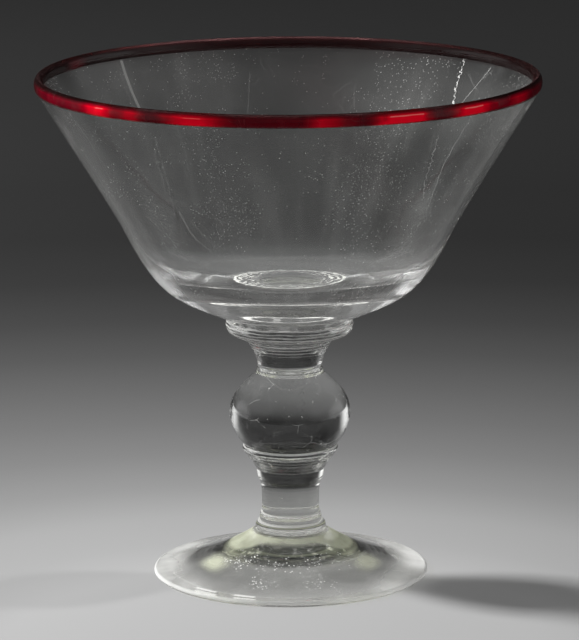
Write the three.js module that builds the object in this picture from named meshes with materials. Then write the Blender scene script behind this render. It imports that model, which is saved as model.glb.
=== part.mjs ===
import * as THREE from "three";

// A footed glass bowl, blown and put together hot from separate gathers of glass.
// Millimetres, +Z up. The bowl stands on z = 0 and is turned about the Z axis.
// Each piece is turned from an outline of radius and height above its own base. It stands on
// the flat top of the piece below it, where the two were fused.

// Foot: a blown brim, thin at its edge, that rises to a thick collar under the stem.
const FOOT_RADIUS = 55;
const FOOT_HEIGHT = 18.1;
const FOOT_EDGE_THICKNESS = 2.8;
const FOOT_BRIM_RADIUS = 42;
const FOOT_BRIM_HEIGHT = 4.9;
const FOOT_SHOULDER_RADIUS = 26;
const FOOT_SHOULDER_HEIGHT = 11.2;
const FOOT_WALL_AT_BRIM = 3.2;
const FOOT_WALL_AT_SHOULDER = 4.2;
// The hollow under the foot is deepest in a ring round the middle, this thick below the collar.
const FOOT_WALL_AT_COLLAR = 9.5;
const HOLLOW_RADIUS = 20;
// It stops at a flat ring, which rests on the table.
const REST_OUTER_RADIUS = 53.4;
const REST_WIDTH = 5;
// A low button of glass is left in the middle, where the working rod was broken off.
const PONTIL_RADIUS = 14;
const PONTIL_DROP = 2.7;
const PONTIL_EDGE_DROP = 1.1;

// Lower ring round the bottom of the stem, fused to the foot.
const FOOT_RING_RADIUS = 14.2;
const FOOT_RING_HEIGHT = 3.5;

// Upper ring, thinner, fused to the lower one.
const SHANK_RING_RADIUS = 12.4;
const SHANK_RING_HEIGHT = 3.8;
// Both rings are fullest at this share of their height, and drawn in a little below it.
const RING_EDGE_SHARE = 0.3;
const RING_UNDERCUT = 0.1;

// Shank: a short column that widens to the collar above it.
const SHANK_RADIUS = 11.4;
const SHANK_HEIGHT = 17.8;
const SHANK_MIDDLE_RADIUS = 11.7;
const SHANK_MIDDLE_HEIGHT = 10.7;
const SHANK_FLARE_RADIUS = 13;
const SHANK_FLARE_HEIGHT = 14.1;
const SHANK_TOP_RADIUS = 13.7;

// Collar under the ball, in two tiers.
const KNOP_MERESE_RADIUS = 19.1;
const KNOP_MERESE_HEIGHT = 9.8;
const KNOP_MERESE_EDGE_HEIGHT = 8.2;
const KNOP_MERESE_TIER_RADIUS = 16.2;
const KNOP_MERESE_TIER_HEIGHT = 4.4;
const KNOP_MERESE_STEP = 0.35;
const KNOP_MERESE_FLARE_RADIUS = 18.1;
const KNOP_MERESE_FLARE_HEIGHT = 6.7;

// Ball knop: solid glass, round below and drawn up to a cone above.
const BALL_BASE_RADIUS = 18.2;
const BALL_LOWER_RADIUS = 22;
const BALL_LOWER_HEIGHT = 5;
const BALL_RADIUS = 24.1;
const BALL_WIDEST_HEIGHT = 13.2;
const BALL_SHOULDER_RADIUS = 21.8;
const BALL_SHOULDER_HEIGHT = 20.9;
const BALL_HEIGHT = 29.5;

// Neck: drawn in by the jacks, which left a fine step below its top.
const NECK_BASE_RADIUS = 13.8;
const NECK_WAIST_RADIUS = 12.8;
const NECK_WAIST_HEIGHT = 3.6;
const NECK_STEP_RADIUS = 15.2;
const NECK_STEP_HEIGHT = 9.8;
const NECK_STEP = 0.3;
const NECK_TOP_RADIUS = 17.4;
const NECK_HEIGHT = 14;

// Collar under the bowl, pressed flat, with a full round edge.
const BOWL_MERESE_RADIUS = 25.5;
const BOWL_MERESE_HEIGHT = 7.5;
const BOWL_MERESE_EDGE_HEIGHT = 5.2;
const BOWL_MERESE_UNDER_RADIUS = 21.8;
const BOWL_MERESE_UNDER_HEIGHT = 1.5;
const BOWL_MERESE_CURL_RADIUS = 24.4;
const BOWL_MERESE_CURL_HEIGHT = 2.9;
const BOWL_MERESE_TOP_RADIUS = 24.9;

// Bowl: a round bottom that turns up to a straight, flared wall.
const BOWL_BASE_RADIUS = 22.9;
const BOWL_HIP_RADIUS = 65.8;
const BOWL_HIP_HEIGHT = 38;
const BOWL_LIP_RADIUS = 99.7;
const BOWL_HEIGHT = 94;
const BOWL_WALL = 2.6;
// The glass was left thick at the bottom, with a flat floor inside.
const BOWL_FLOOR_HEIGHT = 17.5;
const BOWL_FLOOR_RADIUS = 40;
// How the round bottom leaves the base and meets the hip, in shares of the way between them.
const BASE_HANDLE_OUT = 0.545;
const BASE_HANDLE_UP = 0.295;
const HIP_HANDLE_OUT = 0.655;
const HIP_HANDLE_UP = 0.21;
// How the floor and the inner wall run on into the corner between them, in shares likewise.
const FLOOR_HANDLE_OUT = 0.51;
const WALL_HANDLE_DOWN = 0.54;
// How far up the straight wall the lean of the hip is carried, as a share of the wall.
const HIP_BLEND = 0.14;

// Ruby thread laid round the lip.
const RIM_THICKNESS = 3.6;
const RIM_HEIGHT = 4.7;

// Facets round the axis, and steps along the outlines.
const WIDE_FACETS = 64;
const STEM_FACETS = 40;
const BOTTOM_STEPS = 11;
const CORNER_STEPS = 8;
const WALL_STEPS = 5;
const FOOT_STEPS = 9;
const BALL_STEPS = 12;
const STEM_STEPS = 5;
const EDGE_STEPS = 3;
const BEAD_STEPS = 8;

const clearGlass = new THREE.MeshStandardMaterial({
  color: "#dfe5df", roughness: 0.05, metalness: 0, transparent: true, opacity: 0.35,
});
const rubyGlass = new THREE.MeshStandardMaterial({
  color: "#8c0a14", roughness: 0.06, metalness: 0, transparent: true, opacity: 0.8,
});

const at = (radius, height) => new THREE.Vector2(radius, height);
const last = (points) => points[points.length - 1];

// A smooth line through a few points of an outline.
function smooth(points, steps) {
  return new THREE.SplineCurve(points).getPoints(steps);
}

// A rounded edge: a quarter of an ellipse that leaves its first point straight up or down.
function roundEdge(from, to) {
  const points = [];
  for (let i = 0; i <= EDGE_STEPS; i += 1) {
    const angle = (i / EDGE_STEPS) * Math.PI / 2;
    points.push(at(
      to.x + (from.x - to.x) * Math.cos(angle),
      from.y + (to.y - from.y) * Math.sin(angle),
    ));
  }
  return points;
}

// Turns an outline about the Z axis and stands the piece at the height of its seat.
function turned(name, outline, facets, material, seat) {
  const distinct = outline.filter((point, i) => i === 0 || point.distanceTo(outline[i - 1]) > 1e-4);
  const geometry = new THREE.LatheGeometry(distinct, facets);
  geometry.rotateX(Math.PI / 2);
  const piece = new THREE.Mesh(geometry, material);
  piece.name = name;
  piece.position.z = seat;
  return piece;
}

// A solid piece of the stem: its flat base, its side and its flat top.
function stemPiece(name, side, seat) {
  return turned(name, [at(0, 0), ...side, at(0, last(side).y)], STEM_FACETS, clearGlass, seat);
}

// The foot is hollow below. Its outline runs from the button in the middle of the hollow
// out to the resting ring, round the edge and up over the top to the collar.
function foot(seat) {
  const hollowTop = FOOT_HEIGHT - FOOT_WALL_AT_COLLAR;
  const button = [0, 0.4, 0.75, 1].map((share) => at(
    share * PONTIL_RADIUS,
    hollowTop - PONTIL_DROP + (PONTIL_DROP - PONTIL_EDGE_DROP) * share ** 3,
  ));
  const hollow = smooth([
    last(button),
    at(HOLLOW_RADIUS, hollowTop),
    at(FOOT_SHOULDER_RADIUS, FOOT_SHOULDER_HEIGHT - FOOT_WALL_AT_SHOULDER),
    at(FOOT_BRIM_RADIUS, FOOT_BRIM_HEIGHT - FOOT_WALL_AT_BRIM),
    at(REST_OUTER_RADIUS - REST_WIDTH, 0),
  ], FOOT_STEPS);
  const lowerEdge = roundEdge(at(FOOT_RADIUS, FOOT_EDGE_THICKNESS / 2), at(REST_OUTER_RADIUS, 0));
  const upperEdge = roundEdge(
    at(FOOT_RADIUS, FOOT_EDGE_THICKNESS / 2),
    at(REST_OUTER_RADIUS, FOOT_EDGE_THICKNESS),
  );
  const top = smooth([
    last(upperEdge),
    at(FOOT_BRIM_RADIUS, FOOT_BRIM_HEIGHT),
    at(FOOT_SHOULDER_RADIUS, FOOT_SHOULDER_HEIGHT),
    at(FOOT_RING_RADIUS, FOOT_HEIGHT),
  ], FOOT_STEPS);
  const underside = [...button, ...hollow, ...lowerEdge.reverse()];
  const outline = [...underside, ...upperEdge, ...top, at(0, FOOT_HEIGHT)];
  return turned("foot", outline, WIDE_FACETS, clearGlass, seat);
}

// A ring laid round the stem: full at its lower edge and rounded in to its top.
function laidRing(name, radius, topRadius, height, seat) {
  const edge = roundEdge(at(radius, height * RING_EDGE_SHARE), at(topRadius, height));
  return stemPiece(name, [at(radius - RING_UNDERCUT, 0), ...edge], seat);
}

function shank(seat) {
  return stemPiece("shank", smooth([
    at(SHANK_RADIUS, 0),
    at(SHANK_MIDDLE_RADIUS, SHANK_MIDDLE_HEIGHT),
    at(SHANK_FLARE_RADIUS, SHANK_FLARE_HEIGHT),
    at(SHANK_TOP_RADIUS, SHANK_HEIGHT),
  ], STEM_STEPS + 2), seat);
}

function knopMerese(seat) {
  const tier = smooth([
    at(SHANK_TOP_RADIUS, 0),
    at((SHANK_TOP_RADIUS + KNOP_MERESE_TIER_RADIUS) / 2, KNOP_MERESE_TIER_HEIGHT / 2),
    at(KNOP_MERESE_TIER_RADIUS, KNOP_MERESE_TIER_HEIGHT),
  ], STEM_STEPS);
  const widest = at(KNOP_MERESE_RADIUS, KNOP_MERESE_EDGE_HEIGHT);
  const flare = smooth([
    at(KNOP_MERESE_TIER_RADIUS + KNOP_MERESE_STEP, KNOP_MERESE_TIER_HEIGHT),
    at(KNOP_MERESE_FLARE_RADIUS, KNOP_MERESE_FLARE_HEIGHT),
    widest,
  ], STEM_STEPS);
  const edge = roundEdge(widest, at(BALL_BASE_RADIUS, KNOP_MERESE_HEIGHT));
  return stemPiece("knop_merese", [...tier, ...flare, ...edge], seat);
}

function ballKnop(seat) {
  return stemPiece("ball_knop", smooth([
    at(BALL_BASE_RADIUS, 0),
    at(BALL_LOWER_RADIUS, BALL_LOWER_HEIGHT),
    at(BALL_RADIUS, BALL_WIDEST_HEIGHT),
    at(BALL_SHOULDER_RADIUS, BALL_SHOULDER_HEIGHT),
    at(NECK_BASE_RADIUS, BALL_HEIGHT),
  ], BALL_STEPS), seat);
}

function neck(seat) {
  const waist = smooth([
    at(NECK_BASE_RADIUS, 0),
    at(NECK_WAIST_RADIUS, NECK_WAIST_HEIGHT),
    at(NECK_STEP_RADIUS - NECK_STEP, NECK_STEP_HEIGHT),
  ], STEM_STEPS + 1);
  const flare = [at(NECK_STEP_RADIUS, NECK_STEP_HEIGHT), at(NECK_TOP_RADIUS, NECK_HEIGHT)];
  return stemPiece("neck", [...waist, ...flare], seat);
}

function bowlMerese(seat) {
  const widest = at(BOWL_MERESE_RADIUS, BOWL_MERESE_EDGE_HEIGHT);
  const underside = smooth([
    at(NECK_TOP_RADIUS, 0),
    at(BOWL_MERESE_UNDER_RADIUS, BOWL_MERESE_UNDER_HEIGHT),
    at(BOWL_MERESE_CURL_RADIUS, BOWL_MERESE_CURL_HEIGHT),
    widest,
  ], STEM_STEPS + 1);
  const edge = roundEdge(widest, at(BOWL_MERESE_TOP_RADIUS, BOWL_MERESE_HEIGHT));
  return stemPiece("bowl_merese", [...underside, ...edge], seat);
}

// The bowl's outer line, from its base round the bottom to the hip, and on up to the lip.
const bowlHip = at(BOWL_HIP_RADIUS, BOWL_HIP_HEIGHT);
const bottomWidth = BOWL_HIP_RADIUS - BOWL_BASE_RADIUS;
const hipHandle = at(
  BOWL_BASE_RADIUS + HIP_HANDLE_OUT * bottomWidth,
  HIP_HANDLE_UP * BOWL_HIP_HEIGHT,
);
const bottomCurve = new THREE.CubicBezierCurve(
  at(BOWL_BASE_RADIUS, 0),
  at(BOWL_BASE_RADIUS + BASE_HANDLE_OUT * bottomWidth, BASE_HANDLE_UP * BOWL_HIP_HEIGHT),
  hipHandle,
  bowlHip,
);
const hipLean = bowlHip.clone().sub(hipHandle).normalize();

// The point that lies the given rise above another, in the lean of the hip.
function leaning(point, rise) {
  return point.clone().addScaledVector(hipLean, rise / hipLean.y);
}

const wallCurve = new THREE.QuadraticBezierCurve(
  bowlHip,
  leaning(bowlHip, HIP_BLEND * (BOWL_HEIGHT - BOWL_HIP_HEIGHT)),
  at(BOWL_LIP_RADIUS, BOWL_HEIGHT),
);

// The lip is cut level, so it is wider than the sloping wall is thick.
const lipWidth = BOWL_WALL / wallCurve.getTangent(1).y;

// The inner wall keeps one thickness from the outer one, square to it, down to the hip. A
// round corner joins it to the floor.
function bowl(seat) {
  const outer = [
    ...bottomCurve.getPoints(BOTTOM_STEPS),
    ...wallCurve.getPoints(WALL_STEPS).slice(1),
  ];
  const innerWall = [];
  for (let i = 0; i < WALL_STEPS; i += 1) {
    const along = wallCurve.getTangent(i / WALL_STEPS);
    const inward = at(-along.y, along.x);
    innerWall.push(wallCurve.getPoint(i / WALL_STEPS).addScaledVector(inward, BOWL_WALL));
  }
  const innerHip = innerWall[0];
  const cornerWidth = innerHip.x - BOWL_FLOOR_RADIUS;
  const corner = new THREE.CubicBezierCurve(
    at(BOWL_FLOOR_RADIUS, BOWL_FLOOR_HEIGHT),
    at(BOWL_FLOOR_RADIUS + FLOOR_HANDLE_OUT * cornerWidth, BOWL_FLOOR_HEIGHT),
    leaning(innerHip, -WALL_HANDLE_DOWN * (innerHip.y - BOWL_FLOOR_HEIGHT)),
    innerHip,
  ).getPoints(CORNER_STEPS);
  const inner = [...corner, ...innerWall.slice(1), at(BOWL_LIP_RADIUS - lipWidth, BOWL_HEIGHT)];
  const outline = [at(0, 0), ...outer, ...inner.reverse(), at(0, BOWL_FLOOR_HEIGHT)];
  return turned("bowl", outline, WIDE_FACETS, clearGlass, seat);
}

// The thread is an oval bead, flattened where it was laid on the lip.
function rubyRim(seat) {
  const middle = BOWL_LIP_RADIUS - lipWidth / 2;
  const seatAngle = Math.acos(Math.min(lipWidth / RIM_THICKNESS, 1));
  const halfHeight = RIM_HEIGHT / (1 + Math.sin(seatAngle));
  const points = [];
  for (let i = 0; i <= BEAD_STEPS; i += 1) {
    const angle = -seatAngle + (i / BEAD_STEPS) * (Math.PI + 2 * seatAngle);
    points.push(at(
      middle + (RIM_THICKNESS / 2) * Math.cos(angle),
      halfHeight * (Math.sin(seatAngle) + Math.sin(angle)),
    ));
  }
  return turned("ruby_rim", [...points, points[0].clone()], WIDE_FACETS, rubyGlass, seat);
}

function footRing(seat) {
  return laidRing("foot_ring", FOOT_RING_RADIUS, SHANK_RING_RADIUS, FOOT_RING_HEIGHT, seat);
}

function shankRing(seat) {
  return laidRing("shank_ring", SHANK_RING_RADIUS, SHANK_RADIUS, SHANK_RING_HEIGHT, seat);
}

// The pieces in the order in which they stand on each other, with the height of each.
const footedBowl = new THREE.Group();
const stack = [
  [foot, FOOT_HEIGHT],
  [footRing, FOOT_RING_HEIGHT],
  [shankRing, SHANK_RING_HEIGHT],
  [shank, SHANK_HEIGHT],
  [knopMerese, KNOP_MERESE_HEIGHT],
  [ballKnop, BALL_HEIGHT],
  [neck, NECK_HEIGHT],
  [bowlMerese, BOWL_MERESE_HEIGHT],
  [bowl, BOWL_HEIGHT],
  [rubyRim, RIM_HEIGHT],
];
let seat = 0;
for (const [makePiece, height] of stack) {
  footedBowl.add(makePiece(seat));
  seat += height;
}

export default footedBowl;
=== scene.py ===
import math
import random

import bpy
from mathutils import Matrix, Vector


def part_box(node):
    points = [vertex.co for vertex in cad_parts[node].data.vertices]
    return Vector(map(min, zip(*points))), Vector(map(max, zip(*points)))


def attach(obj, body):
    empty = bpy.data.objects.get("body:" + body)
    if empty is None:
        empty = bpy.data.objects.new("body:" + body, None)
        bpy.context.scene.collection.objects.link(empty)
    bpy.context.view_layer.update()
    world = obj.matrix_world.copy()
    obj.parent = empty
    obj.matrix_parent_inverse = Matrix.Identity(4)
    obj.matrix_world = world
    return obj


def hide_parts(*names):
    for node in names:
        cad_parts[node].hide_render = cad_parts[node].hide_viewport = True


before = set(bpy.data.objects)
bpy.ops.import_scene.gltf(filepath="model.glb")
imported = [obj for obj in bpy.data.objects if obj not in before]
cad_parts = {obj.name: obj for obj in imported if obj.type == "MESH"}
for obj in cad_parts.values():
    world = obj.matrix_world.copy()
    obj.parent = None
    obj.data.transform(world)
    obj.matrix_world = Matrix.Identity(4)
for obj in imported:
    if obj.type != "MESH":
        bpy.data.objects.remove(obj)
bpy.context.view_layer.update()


# Foot
# A blown disc of clear glass, thin at its brim and drawn up to a thick collar. It is hollow
# below and stands on a flat ring, which tables have worn matt. A low rough button is left in
# the middle of the hollow, where the working rod was broken off.

MM = 0.001
TURN_STEPS = 192        # flats round the axis
LINE_STEPS = 12         # steps along each stretch of a smooth line
QUARTER = 0.5523        # length of a handle that makes a quarter of a circle
SHARP = math.radians(24)
CLEAR_IOR = 1.51
DUST_AND_HIGHLIGHT = (0.86, 0.86, 0.84, 1)


class Socket:
    """A value in a material, which turns the operators of Python into Math nodes."""

    def __init__(self, finish, socket):
        self.finish = finish
        self.socket = socket

    def maths(self, operation, *values):
        return self.finish.node("ShaderNodeMath", {"operation": operation}, *values)

    def __add__(self, other):
        return self.maths("ADD", self, other)

    __radd__ = __add__

    def __sub__(self, other):
        return self.maths("SUBTRACT", self, other)

    def __rsub__(self, other):
        return self.maths("SUBTRACT", other, self)

    def __mul__(self, other):
        return self.maths("MULTIPLY", self, other)

    __rmul__ = __mul__

    def __truediv__(self, other):
        return self.maths("DIVIDE", self, other)

    def __rtruediv__(self, other):
        return self.maths("DIVIDE", other, self)

    def __pow__(self, other):
        return self.maths("POWER", self, other)

    def __abs__(self):
        return self.maths("ABSOLUTE", self)


class Finish:
    """The nodes of a material or of the world, with one method that adds any of them."""

    def __init__(self, owner):
        owner.use_nodes = True
        self.owner = owner
        self.nodes = owner.node_tree.nodes
        self.links = owner.node_tree.links
        self.nodes.clear()

    def node(self, kind, settings=None, *values, out=0, **named):
        """Adds a node by its type, its settings and the values or links of its sockets, and
        gives one of its outputs, or as many as out names."""
        node = self.nodes.new(kind)
        for key, value in (settings or {}).items():
            if key == "stops":
                for _ in value[2:]:
                    node.color_ramp.elements.new(0.5)
                for element, (place, shade) in zip(node.color_ramp.elements, value):
                    element.position = place
                    element.color = shade if isinstance(shade, tuple) else (shade,) * 3 + (1,)
            else:
                setattr(node, key, value)
        for key, value in [*enumerate(values), *named.items()]:
            socket = node.inputs[key.replace("_", " ") if isinstance(key, str) else key]
            if isinstance(value, Socket):
                self.links.new(value.socket, socket)
            else:
                socket.default_value = value
        if isinstance(out, tuple):
            return [Socket(self, node.outputs[i]) for i in out]
        return Socket(self, node.outputs[out])

    def shown(self, shader, output="ShaderNodeOutputMaterial"):
        """Puts the shader on the surface, and gives the finished material or world."""
        self.links.new(shader.socket, self.nodes.new(output).inputs["Surface"])
        return self.owner


def fade(value, low, high):
    """0 at low and 1 at high, also where low is the larger, with a soft change between."""
    return value.finish.node(
        "ShaderNodeMapRange", {"interpolation_type": "SMOOTHSTEP"}, value, low, high)


def cloud(place, size, detail=1.0):
    """Soft patches of about the given size in mm, around 0.5."""
    return place.finish.node(
        "ShaderNodeTexNoise", None, Vector=place, Scale=1 / (size * MM), Detail=detail)


def ripple(across, width):
    """Waves of the given width, both in mm, from -1 to 1."""
    return across.maths("SINE", across * (2 * math.pi / width))


def round_axis(finish):
    """The place on a piece, its height and radius in mm, and its turn in degrees.

    The turn is 0 at the front, grows to the right and is 180 at the back."""
    place = finish.node("ShaderNodeTexCoord", out="Object")
    x, y, z = finish.node("ShaderNodeSeparateXYZ", None, place, out=("X", "Y", "Z"))
    radius = (x * x + y * y) ** 0.5
    turn = x.maths("ARCTAN2", x, 0 - y)
    return place, z / MM, radius / MM, turn * math.degrees(1)


def hairlines(place, size, width):
    """Fine scratches: broken lines of the given width in mm, at about the given distance."""
    finish = place.finish
    bent = finish.node(
        "ShaderNodeTexNoise", None, Vector=place, Scale=1 / (2 * size * MM), out="Color")
    bent = finish.node("ShaderNodeVectorMath", {"operation": "SCALE"}, bent, Scale=size * MM)
    bent = finish.node("ShaderNodeVectorMath", {"operation": "ADD"}, place, bent)
    edge = finish.node(
        "ShaderNodeTexVoronoi", {"feature": "DISTANCE_TO_EDGE"},
        Vector=bent, Scale=1 / (size * MM))
    return fade(edge, width / size, 0.3 * width / size) * fade(cloud(place, size), 0.53, 0.6)


def dust_and_highlight_on(finish):
    """Fine pale dust, dried water or cracked glass, which are all matt, and painted highlights
    drawn in the same matt white.
    """
    return finish.node(
        "ShaderNodeBsdfPrincipled", None, Base_Color=DUST_AND_HIGHLIGHT, Roughness=0.9, Specular_IOR_Level=0.0)


def unseen(finish):
    """What lets everything through, as if the face weren't there."""
    return finish.node("ShaderNodeBsdfTransparent", None, Color=(1, 1, 1, 1))


def blown(finish, tint, passed, marks, film, roughness=0.0, body=None, shine=0.5):
    """Glass with marks in it, in mm, and a matt pale film on a share of it, which is dust and in
    places painted highlights.

    Body is an opaque colour mixed into the glass, with the share of it, as in partly clouded
    glass; on the ruby thread it holds painted highlights and painted shade. Shine is how strongly
    the glass mirrors. Lamps shine through: each face lets the passed colour of their light on to
    the table."""
    bump = finish.node("ShaderNodeBump", None, Strength=1.0, Distance=MM, Height=marks)
    glass = finish.node(
        "ShaderNodeBsdfPrincipled", None, Base_Color=tint, Roughness=roughness,
        IOR=CLEAR_IOR, Transmission_Weight=1.0, Specular_IOR_Level=shine, Normal=bump)
    if body:
        matt_body = finish.node(
            "ShaderNodeBsdfPrincipled", None, Base_Color=body[0], Roughness=0.3,
            Specular_IOR_Level=0.0, Normal=bump)
        glass = finish.node("ShaderNodeMixShader", None, body[1], glass, matt_body)
    with_film = finish.node("ShaderNodeMixShader", None, film, glass, dust_and_highlight_on(finish))
    shadow, bounce = finish.node(
        "ShaderNodeLightPath", out=("Is Shadow Ray", "Is Diffuse Ray"))
    lamp_side = shadow.maths("MAXIMUM", shadow, bounce)
    lit = finish.node("ShaderNodeBsdfTransparent", None, Color=passed)
    return finish.shown(finish.node("ShaderNodeMixShader", None, lamp_side, with_film, lit))


def corners(*points):
    """Straight stretches from point to point of radius and height, without handles."""
    return [(Vector(point),) * 3 for point in points]


def smooth(*points):
    """A smooth line through points of radius and height, with a handle before and after each."""
    knots = [Vector(point) for point in points]
    line = []
    for i, knot in enumerate(knots):
        reach = (knots[min(i + 1, len(knots) - 1)] - knots[max(i - 1, 0)]) / 6
        line.append((knot, knot - reach, knot + reach))
    line[0] = (knots[0], knots[0], line[0][2])
    line[-1] = (knots[-1], line[-1][1], knots[-1])
    return line


def rounded(start, end):
    """A quarter of an ellipse that leaves its start straight up or down."""
    start, end = Vector(start), Vector(end)
    up = Vector((start.x, start.y + QUARTER * (end.y - start.y)))
    out = Vector((end.x + QUARTER * (start.x - end.x), end.y))
    return [(start, start, up), (end, out, end)]


def turned(name, node, lines, glass, joints, steps=LINE_STEPS):
    """Turns an outline about the axis, on the seat of its CAD node, in millimetres.

    Joints are the heights of its flat faces that are fused to a neighbour, with the radius of
    each. There the glass runs on from piece to piece, so these faces aren't seen."""
    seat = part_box(node)[0][2]
    knots = []
    for line in lines:
        for knot, before, after in line:
            if knots and (knots[-1][0] - knot).length < 1e-6:
                knots[-1] = (knots[-1][0], knots[-1][1], after)
            else:
                knots.append((knot, before, after))
    outline = bpy.data.curves.new(name, "CURVE")
    outline.dimensions = "3D"
    outline.resolution_u = steps
    spline = outline.splines.new("BEZIER")
    spline.bezier_points.add(len(knots) - 1)
    for point, knot in zip(spline.bezier_points, knots):
        point.handle_left_type = point.handle_right_type = "FREE"
        for field, (radius, height) in zip(("co", "handle_left", "handle_right"), knot):
            setattr(point, field, (radius * MM, 0, seat + height * MM))
    piece = bpy.data.objects.new(name, outline)
    bpy.context.scene.collection.objects.link(piece)
    bpy.ops.object.select_all(action="DESELECT")
    bpy.context.view_layer.objects.active = piece
    piece.select_set(True)
    bpy.ops.object.convert(target="MESH")
    piece = bpy.context.object
    bpy.ops.object.mode_set(mode="EDIT")
    bpy.ops.mesh.select_all(action="SELECT")
    bpy.ops.mesh.spin(
        steps=TURN_STEPS, angle=2 * math.pi, center=(0, 0, 0), axis=(0, 0, 1))
    bpy.ops.mesh.select_all(action="SELECT")
    bpy.ops.mesh.remove_doubles(threshold=1e-6)
    bpy.ops.mesh.normals_make_consistent(inside=False)
    bpy.ops.object.mode_set(mode="OBJECT")
    bpy.ops.object.shade_smooth_by_angle(angle=SHARP)
    piece.data.materials.append(glass)
    piece.data.materials.append(fused_joint)
    for face in piece.data.polygons:
        middle = face.center
        for height, radius in joints:
            level = abs(middle.z - seat - height * MM) < 1e-6
            if level and math.hypot(middle.x, middle.y) < radius * MM:
                face.material_index = 1
    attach(piece, "root")
    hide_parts(node)
    return piece


joint_finish = Finish(bpy.data.materials.new("fused_joint"))
fused_joint = joint_finish.shown(unseen(joint_finish))

FOOT_RADIUS = 55
FOOT_HEIGHT = 18.1
FOOT_EDGE = 2.8
REST_OUTER = 53.4
REST_INNER = 48.4
HOLLOW_TOP = 8.6
PONTIL_RADIUS = 14
FOOT_RING_RADIUS = 14.2
SPECKLED_SHADE_RADIUS = 22.5      # painted shade, dark and speckled, where the glass is thickest
SPARKLE_HIGHLIGHTS_RADIUS = 28        # painted highlights: small white sparkles, in the front half
FEW_SPARKLE_HIGHLIGHTS = (39, 17)     # radius and turn of two small groups of them
PALE_PATCHES = (33, 66)     # radius and turn of a clouded patch on each side
GLINTS_RADIUS = 51.3

finish = Finish(bpy.data.materials.new("foot_glass"))
place, height, radius, turn = round_axis(finish)
button = fade(radius, PONTIL_RADIUS + 1.5, PONTIL_RADIUS - 0.5)
worn = fade(height, 0.4, 0.1)
foot_marks = (
    0.10 * cloud(place, 22) + 0.004 * ripple(radius + 3 * cloud(place, 30), 2.7)
    + button * 0.45 * cloud(place, 2.2, 3.0))
to_side = fade(abs(abs(turn) - 90), 60, 20)
brim = fade(radius, 38, 51)
# Painted highlights: small white sparkles in the film, in the front half, and two small groups
# further out.
sparkle_cell = finish.node("ShaderNodeTexVoronoi", None, Vector=place, Scale=1 / (1.3 * MM))
sparkle_highlights = fade(sparkle_cell, 0.32, 0.18) * fade(cloud(place, 6, 2.0), 0.48, 0.56)
sparkle_highlights = sparkle_highlights * (
    fade(abs(radius - SPARKLE_HIGHLIGHTS_RADIUS), 6, 2) * fade(abs(turn), 80, 45)
    + fade(abs(radius - FEW_SPARKLE_HIGHLIGHTS[0]), 5, 2) * fade(abs(abs(turn) - FEW_SPARKLE_HIGHLIGHTS[1]), 13, 6))
# Painted highlights: two short glints in the film on the front left of the brim.
glints = fade(abs(radius - GLINTS_RADIUS), 1.0, 0.4) * (
    fade(abs(turn + 41), 7, 5) + fade(abs(turn + 21), 6, 4))
# The film is dust and wear on the resting ring and button, and also painted highlights: the
# sparkles, the glints, and brim clouding that is heavier on both sides, most on the right.
foot_film_and_highlights = (
    0.004 + 0.03 * fade(cloud(place, 9, 2.0), 0.45, 0.7) + 0.2 * hairlines(place, 7, 0.06)
    + 0.12 * worn + 0.05 * button + 0.95 * sparkle_highlights + 0.8 * glints
    + 0.35 * fade(radius, FOOT_RADIUS - 1.1, FOOT_RADIUS - 0.2)
    + (0.25 + 0.55 * to_side + 0.7 * fade(turn, 25, 70) * to_side) * brim
    * (cloud(place, 16, 2.0) - 0.05))
# Painted shade: a dark speckled band in the tint, round the thick collar.
speckled_shade = fade(abs(radius - SPECKLED_SHADE_RADIUS), 5.5, 2.5)
speckled_shade = speckled_shade * fade(cloud(place, 2.5, 3.0), 0.30, 0.46)
foot_tint_and_shade = finish.node(
    "ShaderNodeValToRGB", {"stops": [(0, (0.985, 0.99, 0.97, 1)), (1, (0.07, 0.075, 0.065, 1))]},
    speckled_shade)
pale = (
    0.45 * fade(radius, 14.4, 16) * fade(radius - 7 * to_side, 19.5, 16.5)
    + 0.4 * fade(abs(radius - PALE_PATCHES[0]), 6, 1)
    * fade(abs(abs(turn) - PALE_PATCHES[1]), 19, 2))
foot_glass = blown(
    finish, foot_tint_and_shade, (0.98, 0.98, 0.97, 1), foot_marks, foot_film_and_highlights,
    0.2 * worn + 0.06 * button, body=((0.86, 0.89, 0.68, 1), pale * (0.4 + cloud(place, 7, 2.0))))

foot = turned("foot_glass", "foot", [
    smooth((0, 5.8), (0.4 * PONTIL_RADIUS, 5.95), (0.75 * PONTIL_RADIUS, 6.5),
           (PONTIL_RADIUS, 7.4), (20, HOLLOW_TOP), (26, 7.0), (42, 1.7), (REST_INNER, 0)),
    corners((REST_OUTER, 0)),
    rounded((FOOT_RADIUS, FOOT_EDGE / 2), (REST_OUTER, 0))[::-1],
    rounded((FOOT_RADIUS, FOOT_EDGE / 2), (REST_OUTER, FOOT_EDGE)),
    smooth((REST_OUTER, FOOT_EDGE), (42, 4.9), (26, 11.2), (FOOT_RING_RADIUS, FOOT_HEIGHT)),
    corners((0, FOOT_HEIGHT)),
], foot_glass, [(FOOT_HEIGHT, FOOT_RING_RADIUS)])


# Rings of the stem
# Two threads of clear glass laid hot round the bottom of the stem, the thinner on the wider.
# The tool that pressed them left a fine groove and small pinches.

FOOT_RING_HEIGHT = 3.5
SHANK_RING_RADIUS = 12.4
SHANK_RING_HEIGHT = 3.8
SHANK_RADIUS = 11.4
RING_EDGE_SHARE = 0.3
RING_UNDERCUT = 0.1
GROOVE_HEIGHTS = (
    FOOT_HEIGHT + FOOT_RING_HEIGHT, FOOT_HEIGHT + FOOT_RING_HEIGHT + SHANK_RING_HEIGHT)
SHANK_PASSED = (0.80, 0.80, 0.79, 1)


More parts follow.
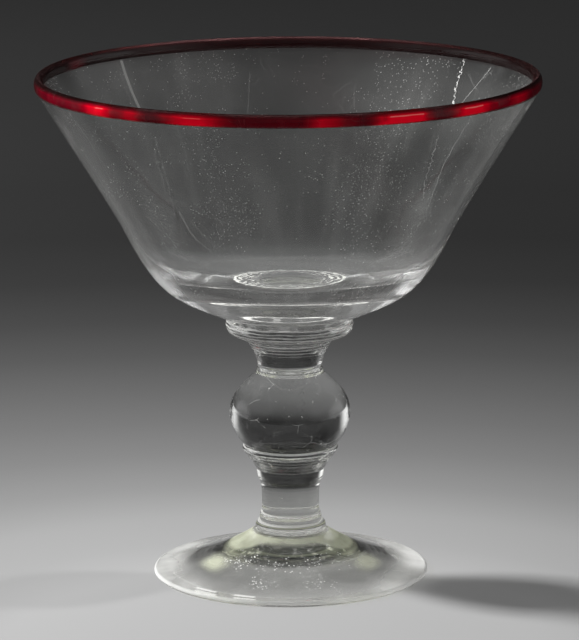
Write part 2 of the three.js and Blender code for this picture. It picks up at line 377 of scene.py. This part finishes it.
def laid_ring(name, node, radius, top_radius, tall, glass):
    """A ring that is full at its lower edge and rounded in to its top."""
    edge = tall * RING_EDGE_SHARE
    ring = turned(name, node, [
        corners((0, 0), (radius - RING_UNDERCUT, 0)),
        rounded((radius, edge), (top_radius, tall)),
        corners((0, tall)),
    ], glass, [(0, radius), (tall, top_radius)])
    return ring


finish = Finish(bpy.data.materials.new("ring_glass"))
place, height, radius, turn = round_axis(finish)
ring_marks = 0.05 * cloud(place, 6) + 0.004 * ripple(height, 0.8)
grooves = sum(fade(abs(height - groove), 0.6, 0.2) for groove in GROOVE_HEIGHTS)
ring_glass = blown(
    finish, (0.975, 0.985, 0.955, 1), SHANK_PASSED, ring_marks,
    0.005 + 0.04 * fade(cloud(place, 3, 2.0), 0.5, 0.7) + 0.5 * grooves)

laid_ring("foot_ring_glass", "foot_ring", FOOT_RING_RADIUS, SHANK_RING_RADIUS,
          FOOT_RING_HEIGHT, ring_glass)
laid_ring("shank_ring_glass", "shank_ring", SHANK_RING_RADIUS, SHANK_RADIUS,
          SHANK_RING_HEIGHT, ring_glass)


# Shank
# A short solid column of clear glass, drawn out hot, so faint cords run up it. It widens to
# the collar above, and a few small seeds of air are left in it.

SHANK_TOP_RADIUS = 13.7
SHANK_HEIGHT = 17.8


def seeds(piece, bubbles):
    """Leaves bubbles of air in the glass of a piece, as x, y, z, width and height in mm."""
    bpy.ops.object.select_all(action="DESELECT")
    bpy.context.view_layer.objects.active = piece
    piece.select_set(True)
    bpy.ops.object.mode_set(mode="EDIT")
    bpy.ops.mesh.select_all(action="DESELECT")
    for x, y, z, width, tall in bubbles:
        bpy.ops.mesh.primitive_ico_sphere_add(
            subdivisions=2, radius=width / 2 * MM, location=(x * MM, y * MM, z * MM),
            scale=(1, 1, tall / width))
        bpy.ops.mesh.faces_shade_smooth()
        bpy.ops.mesh.flip_normals()
        bpy.ops.mesh.select_all(action="DESELECT")
    bpy.ops.object.mode_set(mode="OBJECT")


finish = Finish(bpy.data.materials.new("shank_glass"))
place, height, radius, turn = round_axis(finish)
shank_marks = (
    0.05 * cloud(place, 9) + 0.005 * ripple(turn + 6 * cloud(place, 12), 24)
    + 0.003 * ripple(height, 1.7))
shank_glass = blown(
    finish, (0.975, 0.985, 0.96, 1), SHANK_PASSED, shank_marks,
    0.004 + 0.02 * fade(cloud(place, 4, 2.0), 0.5, 0.7) + 0.15 * hairlines(place, 6, 0.05))

shank = turned("shank_glass", "shank", [
    corners((0, 0)),
    smooth((SHANK_RADIUS, 0), (11.7, 10.7), (13, 14.1), (SHANK_TOP_RADIUS, SHANK_HEIGHT)),
    corners((0, SHANK_HEIGHT)),
], shank_glass, [(0, SHANK_RADIUS), (SHANK_HEIGHT, SHANK_TOP_RADIUS)])
seeds(shank, [
    (-7.6, -5.2, 38.2, 0.45, 0.6), (-4.4, -8.1, 36.6, 0.35, 0.45), (-2.0, -7.4, 37.9, 0.3, 0.4),
    (5.1, 6.6, 34.0, 0.4, 0.55), (7.9, 1.0, 31.2, 0.3, 0.4), (-1.5, 8.3, 29.8, 0.35, 0.5),
])


# Collar under the ball
# A gather of clear glass pressed into two tiers, which joins the shank to the ball. The tool left
# fine lines round it, and under the ball they are painted whiter as a highlight band.

KNOP_TIER_RADIUS = 16.2
KNOP_TIER_HEIGHT = 4.4
KNOP_RADIUS = 19.1
KNOP_HEIGHT = 9.8
KNOP_STEP = 0.35
KNOP_HIGHLIGHT_EDGE = (49, 50.4)      # the heights between which the tool lines are painted whiter, as a highlight
BALL_BASE_RADIUS = 18.2
KNOP_PASSED = (0.03, 0.03, 0.03, 1)     # the ball turns most of the lamps' light aside

finish = Finish(bpy.data.materials.new("knop_collar_glass"))
place, height, radius, turn = round_axis(finish)
knop_marks = 0.06 * cloud(place, 8) + 0.006 * ripple(height, 1.1)
pressed = fade(ripple(height + 0.5 * cloud(place, 6), 1.5), 0.0, 0.8)
# Painted highlight: the tool lines get whiter towards the top, as a bright band under the ball.
knop_glass = blown(
    finish, (0.975, 0.985, 0.965, 1), KNOP_PASSED, knop_marks,
    0.01 + 0.05 * fade(cloud(place, 4, 2.0), 0.5, 0.7)
    + pressed * (0.15 + 0.45 * fade(height, *KNOP_HIGHLIGHT_EDGE)) * (0.2 + cloud(place, 5, 3.0)))

knop_collar = turned("knop_collar_glass", "knop_merese", [
    corners((0, 0)),
    smooth((SHANK_TOP_RADIUS, 0), (14.95, 2.2), (KNOP_TIER_RADIUS, KNOP_TIER_HEIGHT)),
    smooth((KNOP_TIER_RADIUS + KNOP_STEP, KNOP_TIER_HEIGHT), (18.1, 6.7), (KNOP_RADIUS, 8.2)),
    rounded((KNOP_RADIUS, 8.2), (BALL_BASE_RADIUS, KNOP_HEIGHT)),
    corners((0, KNOP_HEIGHT)),
], knop_glass, [(0, SHANK_TOP_RADIUS), (KNOP_HEIGHT, BALL_BASE_RADIUS)])


# Ball knop
# A solid ball of clear glass, round below and drawn up to a cone, with seeds of air in it
# and fine scratches on it from years of washing.

BALL_HEIGHT = 29.5
NECK_BASE_RADIUS = 13.8

finish = Finish(bpy.data.materials.new("ball_glass"))
place, height, radius, turn = round_axis(finish)
ball_marks = 0.10 * cloud(place, 14) + 0.003 * ripple(height + 1.5 * cloud(place, 20), 2.3)
# White specks in the film: partly dust motes, partly painted glints.
mote_and_glint_cell = finish.node("ShaderNodeTexVoronoi", None, Vector=place, Scale=1 / (3.2 * MM))
motes_and_glints = fade(mote_and_glint_cell, 0.10, 0.05) * fade(cloud(place, 12, 2.0), 0.50, 0.60)
ball_glass = blown(
    finish, (0.82, 0.825, 0.815, 1), KNOP_PASSED, ball_marks,
    0.003 + 0.03 * fade(cloud(place, 8, 2.0), 0.45, 0.7) + 0.35 * hairlines(place, 9, 0.10)
    + 0.8 * motes_and_glints)

ball = turned("ball_glass", "ball_knop", [
    corners((0, 0)),
    smooth((BALL_BASE_RADIUS, 0), (22, 5), (24.1, 13.2), (21.8, 20.9),
           (NECK_BASE_RADIUS, BALL_HEIGHT)),
    corners((0, BALL_HEIGHT)),
], ball_glass, [(0, BALL_BASE_RADIUS), (BALL_HEIGHT, NECK_BASE_RADIUS)])
draw = random.Random(11)
ball_seeds = [
    (-13.2, -17.4, 66.8, 0.5, 0.6), (-8.0, -20.2, 64.8, 0.4, 0.5), (-2.8, -20.9, 64.9, 0.5, 0.6),
    (2.0, -21.0, 64.5, 0.4, 0.5), (11.4, -18.4, 65.4, 0.5, 0.7), (17.4, -13.6, 66.6, 0.4, 0.6),
]
for _ in range(14):
    around = math.radians(draw.uniform(0, 360))
    reach = draw.uniform(6, 20)
    width = draw.uniform(0.3, 0.6)
    ball_seeds.append((reach * math.sin(around), reach * math.cos(around),
                       draw.uniform(59, 76), width, width * draw.uniform(1.0, 1.5)))
seeds(ball, ball_seeds)


# Neck
# Solid clear glass above the ball, drawn in by the jacks, which left a fine step and rings
# below its top.

NECK_HEIGHT = 14
NECK_TOP_RADIUS = 17.4
NECK_RING_WIDTH = 1.4
NECK_RINGS = (90, 93)       # the heights between which the rings begin

finish = Finish(bpy.data.materials.new("neck_glass"))
place, height, radius, turn = round_axis(finish)
neck_rings = ripple(height, NECK_RING_WIDTH)
neck_marks = 0.05 * cloud(place, 8) + 0.008 * neck_rings
neck_glass = blown(
    finish, (0.98, 0.985, 0.975, 1), KNOP_PASSED, neck_marks,
    0.005 + 0.04 * fade(cloud(place, 3, 2.0), 0.5, 0.7)
    + 0.35 * fade(neck_rings, 0.3, 0.9) * fade(height, *NECK_RINGS))

neck = turned("neck_glass", "neck", [
    corners((0, 0)),
    smooth((NECK_BASE_RADIUS, 0), (12.8, 3.6), (14.9, 9.8)),
    corners((15.2, 9.8), (NECK_TOP_RADIUS, NECK_HEIGHT), (0, NECK_HEIGHT)),
], neck_glass, [(0, NECK_BASE_RADIUS), (NECK_HEIGHT, NECK_TOP_RADIUS)])


# Collar under the bowl
# A flat disc of clear glass with a full round edge, pressed between the neck and the bowl.
# The bowl was put on it hot, and their joint chilled and cracked in rough rings, which the
# thick bottom of the bowl shows as a bright oval.

MERESE_RADIUS = 25.5
MERESE_HEIGHT = 7.5
MERESE_EDGE_HEIGHT = 5.2
MERESE_TOP_RADIUS = 24.9
BOWL_BASE_RADIUS = 22.9
BOWL_SEAT = 104             # the height above the table at which the bowl starts
CRACK_WIDTH = 2.6
CRACKS_INNER = (12, 15.5)   # the radii between which the cracks begin
CRACKS_EDGE = 22

finish = Finish(bpy.data.materials.new("bowl_collar_glass"))
place, height, radius, turn = round_axis(finish)
merese_marks = 0.08 * cloud(place, 7) + 0.01 * ripple(turn + 8 * cloud(place, 9), 17)
pressed = fade(ripple(height + 0.6 * cloud(place, 5), 1.25), 0.1, 0.8)
# Painted highlight: the pressed lines are whitened on the round edge, as bright outlines, besides
# the tool marks.
merese_glass = blown(
    finish, (0.98, 0.985, 0.975, 1), KNOP_PASSED, merese_marks,
    0.008 + 0.05 * fade(cloud(place, 3, 2.0), 0.5, 0.7) + 0.2 * hairlines(place, 5, 0.07)
    + 0.6 * pressed * fade(radius, 20, 23.5) * (0.15 + cloud(place, 4, 3.0)))

merese = turned("bowl_collar_glass", "bowl_merese", [
    corners((0, 0)),
    smooth((NECK_TOP_RADIUS, 0), (21.8, 1.5), (24.4, 2.9), (MERESE_RADIUS, MERESE_EDGE_HEIGHT)),
    rounded((MERESE_RADIUS, MERESE_EDGE_HEIGHT), (MERESE_TOP_RADIUS, MERESE_HEIGHT)),
    corners((BOWL_BASE_RADIUS, MERESE_HEIGHT), (0, MERESE_HEIGHT)),
], merese_glass, [(0, NECK_TOP_RADIUS), (MERESE_HEIGHT, BOWL_BASE_RADIUS)])

finish = Finish(bpy.data.materials.new("crackled_joint"))
place, height, radius, turn = round_axis(finish)
to_side = fade(abs(abs(turn) - 90), 70, 20)
cracks = fade(ripple(radius + 9 * cloud(place, 7, 4.0), CRACK_WIDTH), 0.0, 0.8)
cracks = cracks * fade(cloud(place, 3, 3.0), 0.36, 0.56) * fade(radius, *CRACKS_INNER)
edge = fade(abs(radius - CRACKS_EDGE + 1.2 * (cloud(place, 5, 3.0) - 0.5)), 0.7, 0.2)
# Painted highlights: the cracks are brighter towards the left and right ends of the oval.
crackled = (
    cracks * (0.5 + 0.5 * to_side) + edge * (0.3 + 0.7 * cloud(place, 6, 2.0))
    + 0.2 * to_side * fade(radius, 12, 19))
crackled = crackled * fade(height, BOWL_SEAT - 0.5, BOWL_SEAT - 0.1)
crackled = crackled * fade(radius, BOWL_BASE_RADIUS + 0.7, BOWL_BASE_RADIUS + 0.2)
shadow = finish.node("ShaderNodeLightPath", out="Is Shadow Ray")
crackled_joint = finish.shown(finish.node(
    "ShaderNodeMixShader", None, crackled * (1 - shadow), unseen(finish), dust_and_highlight_on(finish)))
merese.data.materials[1] = crackled_joint


# Bowl
# Blown clear glass with a straight, flared wall, left thick at the bottom with a flat floor
# inside. Dust, dried runs of water and fine scratches lie on it.

HIP = Vector((65.8, 38))
LIP = Vector((99.7, 94))
BOWL_WALL = 2.6
FLOOR_HEIGHT = 17.5
FLOOR_RADIUS = 40
BASE_HANDLE = (0.545, 0.295)
HIP_HANDLE = (0.655, 0.21)
HIP_BLEND = 0.14
FLOOR_HANDLE_OUT = 0.51
WALL_HANDLE_DOWN = 0.54
BOWL_STEPS = 24
UNSHADED_BELOW = (150, 135)    # painted shade: the front wall is tinted darker above these heights
BACK_BAND = 182             # the height of a faint band of haze on the back
BOTTOM_HAZE = (124, 112)    # the heights between which the thick bottom gets hazy
DUST_ROUND_WALL = [     # turn from the front in degrees, and how thickly dust lies there
    (-180, 0.3), (-165, 0.5), (-152, 1.0), (-140, 0.4), (-95, 0.7), (-60, 0.3), (-26, 0.4),
    (-18, 1.0), (-8, 0.2), (8, 0.3), (20, 1.0), (30, 0.5), (60, 0.3), (105, 0.7), (135, 0.4),
    (144, 1.0), (155, 0.9), (165, 0.3), (180, 0.3),
]
RUNS_INSIDE = [         # course, width, share, wander
    ([(178, -134.4), (186, -134.2), (193, -134.5), (198, -135.0)], 2.2, 0.28),
    ([(180, 128.4), (186.6, 130.4), (191.2, 130.9), (198, 131.6)], 0.55, 1.0, 2.6),
    ([(178, 127.0), (184.6, 124.9), (191.3, 122.5), (197, 121.0)], 0.4, 0.35, 0.8),
    ([(150, 78), (165, 80.5), (183, 79), (196, 83)], 0.8, 0.2, 0.6),
    ([(158, -171), (172, -168), (189, -170)], 0.5, 0.15, 0.8),
]
RUNS_OUTSIDE = [
    ([(157, -35.6), (164, -34.5), (173, -33.1), (179, -32.9), (191, -31.4)], 0.45, 0.20, 2.0),
    ([(166, -35.6), (173, -34.3), (179, -34.2), (187, -33.0)], 0.45, 0.16, 2.0),
    ([(163, 41.0), (171, 38.6), (176, 38.1), (185, 37.0), (191, 36.2)], 0.4, 0.4, 1.6),
    ([(143, -26.4), (148, -31.0), (152, -32.4), (160, -33.4)], 0.9, 0.22, 0.4),
    ([(144, -23.6), (150, -27.5), (156, -30.5)], 0.7, 0.15, 0.4),
    ([(148, -98), (166, -101), (190, -99)], 0.7, 0.25, 0.8),
    ([(140, 118), (160, 121), (178, 119)], 0.6, 0.22, 0.8),
]

finish = Finish(bpy.data.materials.new("bowl_glass"))
place, height, radius, turn = round_axis(finish)
bowl_marks = (
    0.16 * cloud(place, 34) + 0.02 * cloud(place, 11)
    + 0.004 * ripple(height + 5 * cloud(place, 40), 6.5))

# Smears run down the wall, so their pattern is drawn out that way.
flat = finish.node("ShaderNodeVectorMath", {"operation": "MULTIPLY"}, place, (1, 1, 0))
way = finish.node("ShaderNodeVectorMath", {"operation": "NORMALIZE"}, flat)
way = finish.node("ShaderNodeVectorMath", {"operation": "SCALE"}, way, Scale=0.08)
drop = finish.node("ShaderNodeVectorMath", {"operation": "MULTIPLY"}, place, (0, 0, 0.12))
down_wall = finish.node("ShaderNodeVectorMath", {"operation": "ADD"}, way, drop)
dustiness = finish.node(
    "ShaderNodeValToRGB",
    {"stops": [((turn_to + 180) / 360, level) for turn_to, level in DUST_ROUND_WALL]},
    (turn + 180) / 360)

# The two faces of the wall are told apart by how far they are from its outer line.
outer_wall = HIP.x + (height - BOWL_SEAT - HIP.y) * ((LIP.x - HIP.x) / (LIP.y - HIP.y))
inside = fade(radius - outer_wall, -1.2, -1.9)


def dried_run(course, width, share, wander=0.0):
    """A dried run of water of a width in mm, on a course of (height, turn) from low to high."""
    low, high = course[0][0], course[-1][0]
    least = min(turn_to for _, turn_to in course)
    most = max(turn_to for _, turn_to in course)
    line = finish.node(
        "ShaderNodeValToRGB",
        {"stops": [((rise - low) / (high - low), (turn_to - least) / (most - least))
                   for rise, turn_to in course]},
        (height - low) / (high - low))
    off = turn - least - (most - least) * line
    if wander:
        off = off + wander * (cloud(place, 1.6, 2.0) - 0.5)
    off = abs(off) * radius * math.radians(1)
    ends = fade(height, low - 1, low + 1) * fade(height, high + 1, high - 1)
    return share * fade(off, 0.5 * width, 0.2 * width) * ends


runs_inside = sum(dried_run(*run) for run in RUNS_INSIDE)
runs_outside = sum(dried_run(*run) for run in RUNS_OUTSIDE)
smears = fade(cloud(down_wall, 7, 2.0), 0.45, 0.75) * fade(cloud(place, 38), 0.4, 0.6)
speck = finish.node("ShaderNodeTexVoronoi", None, Vector=place, Scale=1 / (3.0 * MM))
specks = fade(speck, 0.085, 0.04) * fade(
    cloud(place, 22, 2.0) + 0.22 * dustiness, 0.58, 0.68)
grain = finish.node("ShaderNodeTexVoronoi", None, Vector=place, Scale=1 / (1.5 * MM))
grains = fade(grain, 0.20, 0.10) * fade(
    cloud(place, 13, 2.0) + 0.25 * dustiness, 0.60, 0.72)
haze = (
    0.003 + 0.035 * fade(abs(turn), 30, 85) * (0.25 + fade(cloud(place, 45, 2.0), 0.35, 0.7))
    + 0.02 * fade(abs(height - BACK_BAND), 16, 4) * fade(abs(turn), 60, 110)
    + 0.20 * fade(height, *BOTTOM_HAZE) * (cloud(place, 10, 3.0) - 0.1))
bowl_film = (
    haze + 0.03 * smears + 0.75 * specks + 0.32 * grains + 0.10 * hairlines(place, 16, 0.10)
    + inside * runs_inside + (1 - inside) * runs_outside)
# Painted shade: a darker tint on the upper front wall, fading out towards the sides and back.
clear = fade(height, *UNSHADED_BELOW)
clear = clear + fade(abs(turn), 35, 110) * (1 - clear)
bowl_tint_and_shade = finish.node(
    "ShaderNodeValToRGB", {"stops": [(0, (0.80, 0.81, 0.80, 1)), (1, (0.985, 0.99, 0.985, 1))]},
    clear)
bowl_glass = blown(
    finish, bowl_tint_and_shade, (0.90, 0.90, 0.90, 1), bowl_marks, bowl_film)

base = Vector((BOWL_BASE_RADIUS, 0))
bottom = HIP - base
base_handle = base + Vector((BASE_HANDLE[0] * bottom.x, BASE_HANDLE[1] * bottom.y))
hip_handle = base + Vector((HIP_HANDLE[0] * bottom.x, HIP_HANDLE[1] * bottom.y))
lean = (HIP - hip_handle).normalized()
wall_handle = HIP + lean * (HIP_BLEND * (LIP.y - HIP.y) / lean.y)
wall_slope = (LIP - wall_handle).normalized()
lip_width = BOWL_WALL / wall_slope.y
inner_hip = HIP + Vector((-lean.y, lean.x)) * BOWL_WALL
inner_lip = LIP - Vector((lip_width, 0))
inner_handle = inner_hip + (wall_handle - HIP)
floor_edge = Vector((FLOOR_RADIUS, FLOOR_HEIGHT))
floor_handle = floor_edge + Vector((FLOOR_HANDLE_OUT * (inner_hip.x - FLOOR_RADIUS), 0))
down_handle = inner_hip - lean * (WALL_HANDLE_DOWN * (inner_hip.y - FLOOR_HEIGHT) / lean.y)

bowl = turned("bowl_glass", "bowl", [
    corners((0, 0)),
    [(base, base, base_handle),
     (HIP, hip_handle, HIP + (wall_handle - HIP) * 2 / 3),
     (LIP, LIP + (wall_handle - LIP) * 2 / 3, LIP)],
    [(inner_lip, inner_lip, inner_lip + (inner_handle - inner_lip) * 2 / 3),
     (inner_hip, inner_hip + (inner_handle - inner_hip) * 2 / 3, down_handle),
     (floor_edge, floor_handle, floor_edge)],
    corners((0, FLOOR_HEIGHT)),
], bowl_glass, [(0, BOWL_BASE_RADIUS), (LIP.y, LIP.x)], BOWL_STEPS)
bowl.data.materials[1] = crackled_joint


# Ruby thread
# A trail of ruby glass laid hot round the lip and melted in to a full oval bead. Its colour is
# painted with light: bright red highlights at the front, a fine bright streak below the top, and
# painted shade along the top edge, at the ends and at the back.

RIM_THICKNESS = 3.6
RIM_HEIGHT = 4.7
BEAD_STEPS = 16
BEAD_LINE_STEPS = 3
RIM_TOP = 202.7
HIGHLIGHT_STREAK_DROP = 1.9       # how far below the top a painted highlight, a fine bright streak, runs round the thread
RUBY_HIGHLIGHTS = [           # turn in degrees, half width and level of painted highlight stretches
    (-46, 6, 0.8), (-37, 4, 0.5), (-21, 10, 0.7), (8, 7, 0.5), (26, 8, 1.3), (45, 8, 0.8),
    (62, 6, 0.3), (-118, 7, 0.2),
]

finish = Finish(bpy.data.materials.new("ruby_glass"))
place, height, radius, turn = round_axis(finish)
ruby_marks = 0.10 * cloud(place, 9) + 0.03 * cloud(place, 4)
# Painted light: the thread is brighter at the front, with bright red highlight stretches, and
# painted shade darkens its top edge.
painted_light = (0.13 + 0.3 * cloud(place, 14, 2.0)) * fade(abs(turn), 100, 60)
for turn_to, width, level in RUBY_HIGHLIGHTS:
    off = abs(turn - turn_to + 0.8 * width * (cloud(place, 8, 2.0) - 0.5))
    painted_light = painted_light + level * fade(off, 1.2 * width, 0.0)
painted_light = painted_light.maths("MINIMUM", painted_light, 1.0)
painted_light = painted_light ** 2 * fade(height, RIM_TOP - 0.3, RIM_TOP - 2.2)
highlight_streak = fade(abs(height - RIM_TOP + HIGHLIGHT_STREAK_DROP + 0.8 * (cloud(place, 9) - 0.5)), 0.45, 0.1)
ruby_tint_and_light = finish.node(
    "ShaderNodeValToRGB",
    {"stops": [(0, (0.38, 0.08, 0.09, 1)), (0.10, (0.10, 0.002, 0.008, 1)),
               (1, (0.80, 0.0, 0.02, 1))]},
    painted_light)
ruby_body_and_light = finish.node(
    "ShaderNodeValToRGB",
    {"stops": [(0, (0.010, 0.004, 0.004, 1)), (0.05, (0.13, 0.001, 0.008, 1)),
               (0.7, (0.95, 0.003, 0.02, 1)), (1, (1.0, 0.35, 0.32, 1))]},
    painted_light * (0.7 + 0.2 * highlight_streak))
# Painted shade: more of the dark body towards the ends; more body at the front carries the
# painted highlights.
shaded_ends = fade(abs(abs(turn) - 92), 62, 30)
front = fade(abs(turn), 90, 50)
ruby_glass = blown(
    finish, ruby_tint_and_light, (0.25, 0.01, 0.02, 1), ruby_marks,
    0.004 * fade(cloud(place, 5, 2.0), 0.5, 0.7) + 0.03 * hairlines(place, 9, 0.06),
    body=(ruby_body_and_light, 0.25 + 0.7 * painted_light + 0.5 * shaded_ends + 0.2 * front), shine=0.15)

middle = LIP.x - lip_width / 2
seat_angle = math.acos(lip_width / RIM_THICKNESS)
half_height = RIM_HEIGHT / (1 + math.sin(seat_angle))
bead = []
for i in range(BEAD_STEPS + 1):
    angle = -seat_angle + i / BEAD_STEPS * (math.pi + 2 * seat_angle)
    bead.append((middle + RIM_THICKNESS / 2 * math.cos(angle),
                 half_height * (math.sin(seat_angle) + math.sin(angle))))
thread = turned("ruby_thread", "ruby_rim", [smooth(*bead), corners(bead[0])],
                ruby_glass, [(0, LIP.x)], BEAD_LINE_STEPS)


# Table
# A plain matt table top that carries on as the backdrop. A painted pool of light makes it darker
# away from the bowl. The glass sees it close by and the room beyond it.

TABLE_RADIUS = 6.0
TABLE_DROP = 0.02 * MM      # keeps the table just under the resting ring
MIRRORED_LOSS = 0.45        # how much darker the table is in what the glass mirrors
PAST_SIDE = (0.35, 0.60)    # where the table ends for the glass, to the sides in metres
PAST_BACK = (1.70, 1.90)    # and behind the bowl
POOL_FORWARD = 0.1          # how far the middle of the pool is from the axis, to the front
POOL_REACH = 2.0
POOL_SHADES = [             # distance from the middle of the pool in metres, and shade
    (0.0, 0.52), (0.11, 0.52), (0.15, 0.440), (0.19, 0.403), (0.24, 0.297), (0.30, 0.217),
    (0.36, 0.166), (0.42, 0.128), (0.50, 0.0845), (0.58, 0.0570), (0.68, 0.0386),
    (0.80, 0.0325), (0.95, 0.0355), (1.3, 0.0515), (1.8, 0.0850),
]

bpy.ops.object.select_all(action="DESELECT")
bpy.ops.mesh.primitive_circle_add(
    vertices=96, radius=TABLE_RADIUS, fill_type="NGON", location=(0, 0, -TABLE_DROP))
table = bpy.context.object
table.name = "table"
finish = Finish(bpy.data.materials.new("table_grey"))
place = finish.node("ShaderNodeTexCoord", out="Object")
from_pool = finish.node("ShaderNodeVectorMath", {"operation": "ADD"}, place, (0, POOL_FORWARD, 0))
from_pool = finish.node(
    "ShaderNodeVectorMath", {"operation": "LENGTH"}, from_pool, out="Value")
shade = finish.node(
    "ShaderNodeValToRGB", {"stops": [(far / POOL_REACH, level) for far, level in POOL_SHADES]},
    from_pool / POOL_REACH)
x, y = finish.node("ShaderNodeSeparateXYZ", None, place, out=("X", "Y"))
mirrored, through = finish.node(
    "ShaderNodeLightPath", out=("Is Glossy Ray", "Is Transmission Ray"))
matt = finish.node("ShaderNodeBsdfDiffuse", None, Color=shade)
dim = finish.node("ShaderNodeBsdfDiffuse", None, Color=(0.02, 0.02, 0.02, 1))
matt = finish.node("ShaderNodeMixShader", None, mirrored * MIRRORED_LOSS, matt, dim)
past = fade(abs(x), *PAST_SIDE) * (1 - fade(y, *PAST_BACK)) + fade(y, *PAST_BACK)
table.data.materials.append(finish.shown(finish.node(
    "ShaderNodeMixShader", None, past * (mirrored * (1 - through) + through), matt,
    unseen(finish))))


# Lamps
# Three square soft lamps: a strong one on the left and a weak one on the right, both a little
# behind the bowl, and a weak one at the front. They light the table, the dust and the ruby
# thread, and the glass doesn't mirror them, but only the room.

LAMP_AWAY = 1.5
LAMP_AIM = 0.06


def softbox(name, side, up, size, power):
    """A square lamp, by its angles to the left of the front and above the table in degrees."""
    data = bpy.data.lights.new(name, "AREA")
    data.size = size
    data.energy = power
    lamp = bpy.data.objects.new(name, data)
    turn, lift = math.radians(side), math.radians(up)
    place = LAMP_AWAY * Vector((
        -math.cos(lift) * math.sin(turn), -math.cos(lift) * math.cos(turn), math.sin(lift)))
    lamp.location = place + Vector((0, 0, LAMP_AIM))
    lamp.rotation_euler = (-place).to_track_quat("-Z", "Y").to_euler()
    lamp.visible_camera = False
    lamp.visible_glossy = False
    lamp.visible_transmission = False
    bpy.context.scene.collection.objects.link(lamp)


softbox("left_lamp", side=112.3, up=33, size=0.24, power=32)
softbox("right_lamp", side=-106, up=35, size=0.12, power=6.0)
softbox("front_lamp", side=3, up=9, size=0.5, power=7.0)


# Room
# What the glass mirrors and shows: a dim wall at the front and a darker one at the back, light
# sides, and a soft lit panel on each side, which goes on below the level of the table. The
# camera and the dust see a plain level instead.

SEEN_LEVEL = 0.031      # what the camera sees beyond the table
DIFFUSE_LEVEL = 0.012   # what falls on matt surfaces
FRONT_LEVEL = 0.08
BACK_LEVEL = 0.018
UPPER_LEVEL = 0.012
SIDE_LEVEL = 0.3
LEFT_PANEL = 1.2
RIGHT_PANEL = 1.0

world = bpy.context.scene.world or bpy.data.worlds.new("room")
bpy.context.scene.world = world
finish = Finish(world)
way = finish.node("ShaderNodeTexCoord", out="Generated")
x, y, z = finish.node("ShaderNodeSeparateXYZ", None, way, out=("X", "Y", "Z"))


def panel(side, back, up, wide, tall):
    """A soft-edged panel on one side of the room, by its middle and its half width and height."""
    off = ((y - back) / wide) ** 2 + ((z - up) / tall) ** 2
    return fade(off, 1.0, 0.1) * fade(side * x, 0.2, 0.5)


walls = fade(y, 0.30, -0.20) * FRONT_LEVEL + fade(z, 0.30, 0.0) * BACK_LEVEL + UPPER_LEVEL
sides = fade(abs(x), 0.55, 0.9) * fade(z, 0.75, 0.3) * fade(y, 0.8, 0.5) * SIDE_LEVEL
panels = (
    panel(side=-1, back=0.25, up=0.02, wide=0.48, tall=0.40) * LEFT_PANEL
    + panel(side=1, back=0.20, up=0.02, wide=0.48, tall=0.40) * RIGHT_PANEL)
seen, bounce = finish.node("ShaderNodeLightPath", out=("Is Camera Ray", "Is Diffuse Ray"))
mirrored = walls + sides + panels
level = mirrored * (1 - seen) * (1 - bounce) + seen * SEEN_LEVEL + bounce * DIFFUSE_LEVEL
finish.shown(
    finish.node("ShaderNodeBackground", None, Color=(1, 1, 1, 1), Strength=level),
    "ShaderNodeOutputWorld")


# Camera
# It stands in front of the bowl and a little above it, with a long lens. It looks slightly
# down and leans by a third of a degree.

CAMERA_BACK = 1.6844
CAMERA_UP = 0.4696
CAMERA_PITCH = 12.265
CAMERA_ROLL = -0.33
CAMERA_LENS = 243.5
CAMERA_FILM = 36

data = bpy.data.cameras.new("camera")
data.lens = CAMERA_LENS
data.sensor_width = CAMERA_FILM
camera = bpy.data.objects.new("camera", data)
camera.location = (0, -CAMERA_BACK, CAMERA_UP)
tilt = Matrix.Rotation(math.radians(90 - CAMERA_PITCH), 3, "X")
roll = Matrix.Rotation(math.radians(CAMERA_ROLL), 3, "Z")
camera.rotation_euler = (tilt @ roll).to_euler()
bpy.context.scene.collection.objects.link(camera)
scene = bpy.context.scene
scene.camera = camera
scene.view_settings.view_transform = "Standard"
scene.cycles.max_bounces = 32
scene.cycles.transmission_bounces = 32
scene.cycles.glossy_bounces = 16
scene.cycles.transparent_max_bounces = 64
